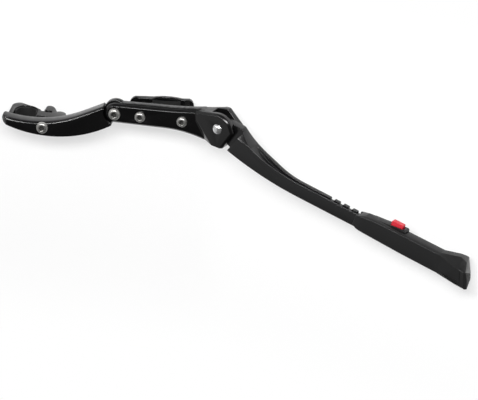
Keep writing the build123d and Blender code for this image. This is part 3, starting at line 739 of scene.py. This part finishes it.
def head_rings(head):
    """Rings of a button head, from its seat over the crown and down into the hexagon socket."""
    height = HEAD_HEIGHT * head
    crown = CROWN_RADIUS * head
    rim = RIM_HEIGHT * head
    soft = SOFT_EDGE * head
    flats = SOCKET_FLATS * head
    rings = [(0, level(head / 2 - soft)), (soft, level(head / 2)), (rim, level(head / 2))]
    for step in range(1, CROWN_STEPS + 1):
        turn = step / CROWN_STEPS * math.pi / 2
        rise = rim + (height - rim) * math.sin(turn)
        rings.append((rise, level(crown + (head / 2 - crown) * math.cos(turn))))
    return rings + [
        (height, hexagon(SOCKET_MOUTH * head)),
        (height - soft, hexagon(flats)),
        (soft, hexagon(flats)),
        (0, hexagon(flats - soft)),
        (-2 * soft, level(soft)),
    ]


def bolt_seat(node):
    """Width of a node's bolt heads, and how far back they seat."""
    low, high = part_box(node)
    head = high.z - low.z
    return head, low.y + HEAD_HEIGHT * head


def threaded_bolts(node, name, size, count):
    """Finished bolts for a node: heads, sockets and threads, placed by the node's box."""
    low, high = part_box(node)
    head, seat = bolt_seat(node)
    rings = thread_rings(size, high.y - seat, sizes().thread_pitch) + head_rings(head)
    middle_z = (low.z + high.z) / 2
    apart = (high.x - low.x - head) / max(1, count - 1)
    facing_front = Matrix.Rotation(math.radians(90), 4, "X")
    whole = bmesh.new()
    scratch = bpy.data.meshes.new("bolt_scratch")
    for index in range(count):
        bolt = lathe(rings, BOLT_COLUMNS, SOCKET_RINGS)
        place = Matrix.Translation((low.x + head / 2 + apart * index, seat, middle_z))
        turn = Matrix.Rotation(FIRST_TURN + NEXT_TURN * index, 4, "Z")
        bmesh.ops.transform(bolt, matrix=place @ facing_front @ turn, verts=bolt.verts)
        bolt.to_mesh(scratch)
        bolt.free()
        whole.from_mesh(scratch)
    mesh = bpy.data.meshes.new(name)
    whole.to_mesh(mesh)
    whole.free()
    bpy.data.meshes.remove(scratch)
    mesh.set_sharp_from_angle(angle=BOLT_SHARP_ANGLE)
    return finished_piece(name, mesh, node)


# Operators of the pieces


class KICKSTAND_OT_castings(bpy.types.Operator):
    """Make the painted castings: bracket, clamp plate, arm and jaw"""

    bl_idname = "kickstand.castings"
    bl_label = "Painted castings"

    def execute(self, context):
        rounded_piece("bracket_body", "bracket_casting", sizes().casting_round, narrowing=True)
        rounded_piece("chainstay_clamp_plate", "bow_plate", sizes().casting_round, narrowing=True)
        rounded_piece("stay_arm", "curved_arm", sizes().arm_round)
        rounded_piece("seatstay_jaw", "hook_jaw", sizes().casting_round)
        return {"FINISHED"}


class KICKSTAND_OT_leg(bpy.types.Operator):
    """Make the forged leg with its groove and rack"""

    bl_idname = "kickstand.leg"
    bl_label = "Forged leg"

    def execute(self, context):
        rounded_piece("leg", "forged_leg", sizes().leg_round)
        return {"FINISHED"}


class KICKSTAND_OT_foot(bpy.types.Operator):
    """Make the moulded foot and its rubber sole"""

    bl_idname = "kickstand.foot"
    bl_label = "Foot and sole"

    def execute(self, context):
        rounded_piece("foot_sleeve", "moulded_foot", sizes().foot_round, narrowing=True, inner=False)
        rounded_piece("foot_sole", "rubber_sole", sizes().rubber_round)
        return {"FINISHED"}


class KICKSTAND_OT_button(bpy.types.Operator):
    """Make the red rocker button with its pin and leaf spring"""

    bl_idname = "kickstand.button"
    bl_label = "Button"

    def execute(self, context):
        rounded_piece("foot_button", "red_rocker", sizes().button_round, inner=False)
        rounded_piece("button_pin", "rocker_pin", sizes().fastener_round)
        flexing_spring("button_spring", "leaf_spring")
        return {"FINISHED"}


class KICKSTAND_OT_pads(bpy.types.Operator):
    """Make the rubber pads of the two clamps"""

    bl_idname = "kickstand.pads"
    bl_label = "Rubber pads"

    def execute(self, context):
        for node in ("chainstay_pad", "clamp_plate_pad", "arm_pad", "seatstay_jaw_pad"):
            rounded_piece(node, f"{node}_rubber", sizes().rubber_round)
        return {"FINISHED"}


class KICKSTAND_OT_bolts(bpy.types.Operator):
    """Make the threaded socket bolts and their nuts"""

    bl_idname = "kickstand.bolts"
    bl_label = "Bolts and nuts"

    def execute(self, context):
        threaded_bolts("clamp_bolts", "chainstay_bolts", sizes().clamp_thread, count=2)
        threaded_bolts("arm_pivot_bolt", "arm_bolt", sizes().pivot_thread, count=1)
        threaded_bolts("seatstay_bolt", "jaw_bolt", sizes().pivot_thread, count=1)
        rounded_piece("clamp_nuts", "chainstay_nuts", sizes().fastener_round)
        rounded_piece("arm_pivot_nut", "arm_nut", sizes().fastener_round)
        rounded_piece("seatstay_cap_nut", "jaw_cap_nut", sizes().fastener_round)
        return {"FINISHED"}


class KICKSTAND_OT_hinge(bpy.types.Operator):
    """Make the leg's rivet, washers, plunger and coil spring"""

    bl_idname = "kickstand.hinge"
    bl_label = "Leg hinge"

    def execute(self, context):
        rounded_piece("leg_pivot_pin", "domed_rivet", sizes().fastener_round)
        rounded_piece("pivot_washers", "thin_washers", sizes().fastener_round)
        rounded_piece("latch_plunger", "latch_plunger_steel", sizes().fastener_round)
        flexing_spring("latch_spring", "latch_coil")
        return {"FINISHED"}


# Studio


def mixed_shaders(tree, share, first, second):
    """Mix of two shaders by a share."""
    node = tree.nodes.new("ShaderNodeMixShader")
    tree.links.new(share, node.inputs["Fac"])
    tree.links.new(first, node.inputs[1])
    tree.links.new(second, node.inputs[2])
    return node.outputs[0]


def sheet_material():
    """White paper that shows plain white with the object's shadow, and nothing from behind."""
    paper = bpy.data.materials.new("white_sheet")
    paper.use_nodes = True
    tree = paper.node_tree
    tree.nodes.clear()
    path = tree.nodes.new("ShaderNodeLightPath")
    seen = maths(tree, "MAXIMUM", path.outputs["Is Camera Ray"], path.outputs["Is Glossy Ray"])
    seen = maths(tree, "MAXIMUM", seen, path.outputs["Is Transmission Ray"])
    place = tree.nodes.new("ShaderNodeSeparateXYZ")
    tree.links.new(object_place(tree), place.inputs[0])
    away = maths(tree, "ABSOLUTE", maths(tree, "SUBTRACT", place.outputs["Z"], SHADOW_LEVEL))
    plain = ramp(tree, away, *SHADOW_REACH, 1 - studio().whiteness)
    share = maths(tree, "MULTIPLY", seen, maths(tree, "ADD", plain, studio().whiteness))
    matte = tree.nodes.new("ShaderNodeBsdfDiffuse")
    matte.inputs["Color"].default_value = (PAPER_TONE, PAPER_TONE, PAPER_TONE, 1)
    white = tree.nodes.new("ShaderNodeEmission")
    lit = mixed_shaders(tree, share, matte.outputs[0], white.outputs[0])
    clear = tree.nodes.new("ShaderNodeBsdfTransparent")
    behind = tree.nodes.new("ShaderNodeNewGeometry").outputs["Backfacing"]
    end = tree.nodes.new("ShaderNodeOutputMaterial")
    tree.links.new(mixed_shaders(tree, behind, lit, clear.outputs[0]), end.inputs["Surface"])
    return paper


def sheet_start():
    """Place, seen from above, behind the clamp plate's right end, where the sheet starts to bend."""
    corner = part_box("chainstay_clamp_plate")[1]
    return Vector((corner.x, corner.y + studio().sheet_gap))


def make_sheet():
    """White sheet close behind the kickstand, bent where the leg turns away from the bracket."""
    line = [sheet_start() + Vector((-SHEET_REACH, 0)), sheet_start()]
    for step in range(1, SHEET_STEPS + 1):
        turn = SHEET_BEND * (step - 0.5) / SHEET_STEPS
        stride = SHEET_RADIUS * SHEET_BEND / SHEET_STEPS
        line.append(line[-1] + Vector((math.cos(turn), -math.sin(turn))) * stride)
    line.append(line[-1] + Vector((math.cos(SHEET_BEND), -math.sin(SHEET_BEND))) * SHEET_REACH)
    work = bmesh.new()
    columns = [[work.verts.new((x, y, rise)) for rise in (-SHEET_REACH, SHEET_REACH)] for x, y in line]
    for left, right in zip(columns, columns[1:]):
        work.faces.new((left[0], right[0], right[1], left[1])).smooth = True
    mesh = bpy.data.meshes.new("white_sheet")
    work.to_mesh(mesh)
    work.free()
    mesh.materials.append(sheet_material())
    sheet = placed("white_sheet", mesh)
    sheet.visible_shadow = False


def make_dark_card():
    """Dark card above the bracket, mirrored only in its top faces, with a bright line left at their rear."""
    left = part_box("arm_pivot_bolt")[0].x
    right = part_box("clamp_bolts")[1].x
    depth = sheet_start().y - CARD_GAP
    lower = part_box("chainstay_pad")[1].z + CARD_RISE
    upper = lower + CARD_HEIGHT
    corners = [(left, depth, lower), (right, depth, lower), (right, depth, upper), (left, depth, upper)]
    mesh = bpy.data.meshes.new("dark_card")
    mesh.from_pydata(corners, [], [(0, 1, 2, 3)])
    finish = Finish("dark_card")
    finish.set(Base_Color=(CARD_TONE, CARD_TONE, CARD_TONE, 1), Roughness=1.0)
    mesh.materials.append(finish.material)
    card = placed("dark_card", mesh)
    card.visible_camera = False
    card.visible_diffuse = False
    card.visible_shadow = False


def make_world():
    """White to the camera; to the object, a dim room with a lighter ceiling and a light left side."""
    world = bpy.data.worlds.new("studio")
    bpy.context.scene.world = world
    world.use_nodes = True
    tree = world.node_tree
    tree.nodes.clear()
    way = tree.nodes.new("ShaderNodeSeparateXYZ")
    tree.links.new(tree.nodes.new("ShaderNodeTexCoord").outputs["Generated"], way.inputs[0])
    ceiling = ramp(tree, way.outputs["Z"], *CEILING_SPAN, studio().ceiling)
    left = ramp(tree, maths(tree, "MULTIPLY", way.outputs["X"], -1), *LEFT_SPAN, studio().left_side)
    room = maths(tree, "ADD", maths(tree, "ADD", ceiling, left), studio().room)
    path = tree.nodes.new("ShaderNodeLightPath")
    shown = tree.nodes.new("ShaderNodeMix")
    shown.inputs["B"].default_value = 1.0
    tree.links.new(path.outputs["Is Camera Ray"], shown.inputs["Factor"])
    tree.links.new(room, shown.inputs["A"])
    light = tree.nodes.new("ShaderNodeBackground")
    light.inputs["Color"].default_value = (1, 1, 1, 1)
    tree.links.new(shown.outputs["Result"], light.inputs["Strength"])
    end = tree.nodes.new("ShaderNodeOutputWorld")
    tree.links.new(light.outputs[0], end.inputs["Surface"])


def lamp(name, place, target, size, watts):
    """Light of a soft lamp of some width and height, aimed at a point."""
    data = bpy.data.lights.new(name, "AREA")
    data.shape = "RECTANGLE"
    data.size, data.size_y = size
    data.energy = watts
    light = placed(name, data)
    light.location = place
    light.rotation_mode = "QUATERNION"
    light.rotation_quaternion = (target - place).to_track_quat("-Z", "Y")
    return data


def bracket_front():
    """Point of the bracket's front face between its two clamp bolts."""
    return Vector((0, bolt_seat("clamp_bolts")[1], 0))


def make_camera():
    """Long lens at the photograph's angle and framing."""
    level_right = Vector((math.cos(CAMERA_TURN), math.sin(CAMERA_TURN), 0))
    forward = Vector((-math.sin(CAMERA_TURN), math.cos(CAMERA_TURN), 0))
    back = Vector((0, 0, math.sin(CAMERA_RISE))) - forward * math.cos(CAMERA_RISE)
    level_up = back.cross(level_right)
    right = level_right * math.cos(CAMERA_ROLL) + level_up * math.sin(CAMERA_ROLL)
    up = level_up * math.cos(CAMERA_ROLL) - level_right * math.sin(CAMERA_ROLL)
    middle = Vector((PHOTO_WIDTH / 2, PHOTO_HEIGHT / 2)) - BRACKET_PIXEL
    target = bracket_front() + (right * middle.x - up * middle.y) * PHOTO_PIXEL
    data = bpy.data.cameras.new("camera")
    data.lens = studio().lens
    data.clip_end = CAMERA_SIGHT
    distance = PHOTO_WIDTH * PHOTO_PIXEL * data.lens / data.sensor_width
    camera = placed("camera", data)
    facing = Matrix((right, up, back)).transposed().to_4x4()
    camera.matrix_world = Matrix.Translation(target + back * distance) @ facing
    bpy.context.scene.camera = camera


class KICKSTAND_OT_studio(bpy.types.Operator):
    """Make the white sheet, the lamps, the world and the camera"""

    bl_idname = "kickstand.studio"
    bl_label = "Studio"

    def execute(self, context):
        context.scene.view_settings.view_transform = "Standard"
        middle = (CAD_BOX[0] + CAD_BOX[1]) / 2
        make_sheet()
        make_dark_card()
        make_world()
        lamp("key_lamp", middle + KEY_PLACE, middle, KEY_SIZE, studio().key_power)
        strip = lamp("strip_lamp", middle + STRIP_PLACE, middle, STRIP_SIZE, studio().strip_power)
        strip.use_shadow = False
        lamp("back_lamp", middle + BACK_PLACE, middle, BACK_SIZE, studio().back_power)
        make_camera()
        return {"FINISHED"}


# Panel and registration

STEPS = ("castings", "leg", "foot", "button", "pads", "bolts", "hinge", "studio")


class KICKSTAND_PT_panel(bpy.types.Panel):
    """Lists the kickstand's steps"""

    bl_idname = "KICKSTAND_PT_panel"
    bl_label = "Kickstand"
    bl_space_type = "VIEW_3D"
    bl_region_type = "UI"
    bl_category = "Kickstand"

    def draw(self, context):
        for step in STEPS:
            self.layout.operator(f"kickstand.{step}")


CLASSES = (
    KickstandFinishes,
    KickstandSizes,
    KickstandStudio,
    KICKSTAND_OT_castings,
    KICKSTAND_OT_leg,
    KICKSTAND_OT_foot,
    KICKSTAND_OT_button,
    KICKSTAND_OT_pads,
    KICKSTAND_OT_bolts,
    KICKSTAND_OT_hinge,
    KICKSTAND_OT_studio,
    KICKSTAND_PT_panel,
)


def register():
    """Registers the classes and hangs the settings on the scene."""
    for item in CLASSES:
        bpy.utils.register_class(item)
    bpy.types.Scene.kickstand_finishes = PointerProperty(type=KickstandFinishes)
    bpy.types.Scene.kickstand_sizes = PointerProperty(type=KickstandSizes)
    bpy.types.Scene.kickstand_studio = PointerProperty(type=KickstandStudio)


def unregister():
    """Takes the settings and classes away again."""
    del bpy.types.Scene.kickstand_finishes
    del bpy.types.Scene.kickstand_sizes
    del bpy.types.Scene.kickstand_studio
    for item in reversed(CLASSES):
        bpy.utils.unregister_class(item)


def main():
    """Runs every step in order."""
    register()
    for step in STEPS:
        getattr(bpy.ops.kickstand, step)()


if __name__ == "__main__":
    main()
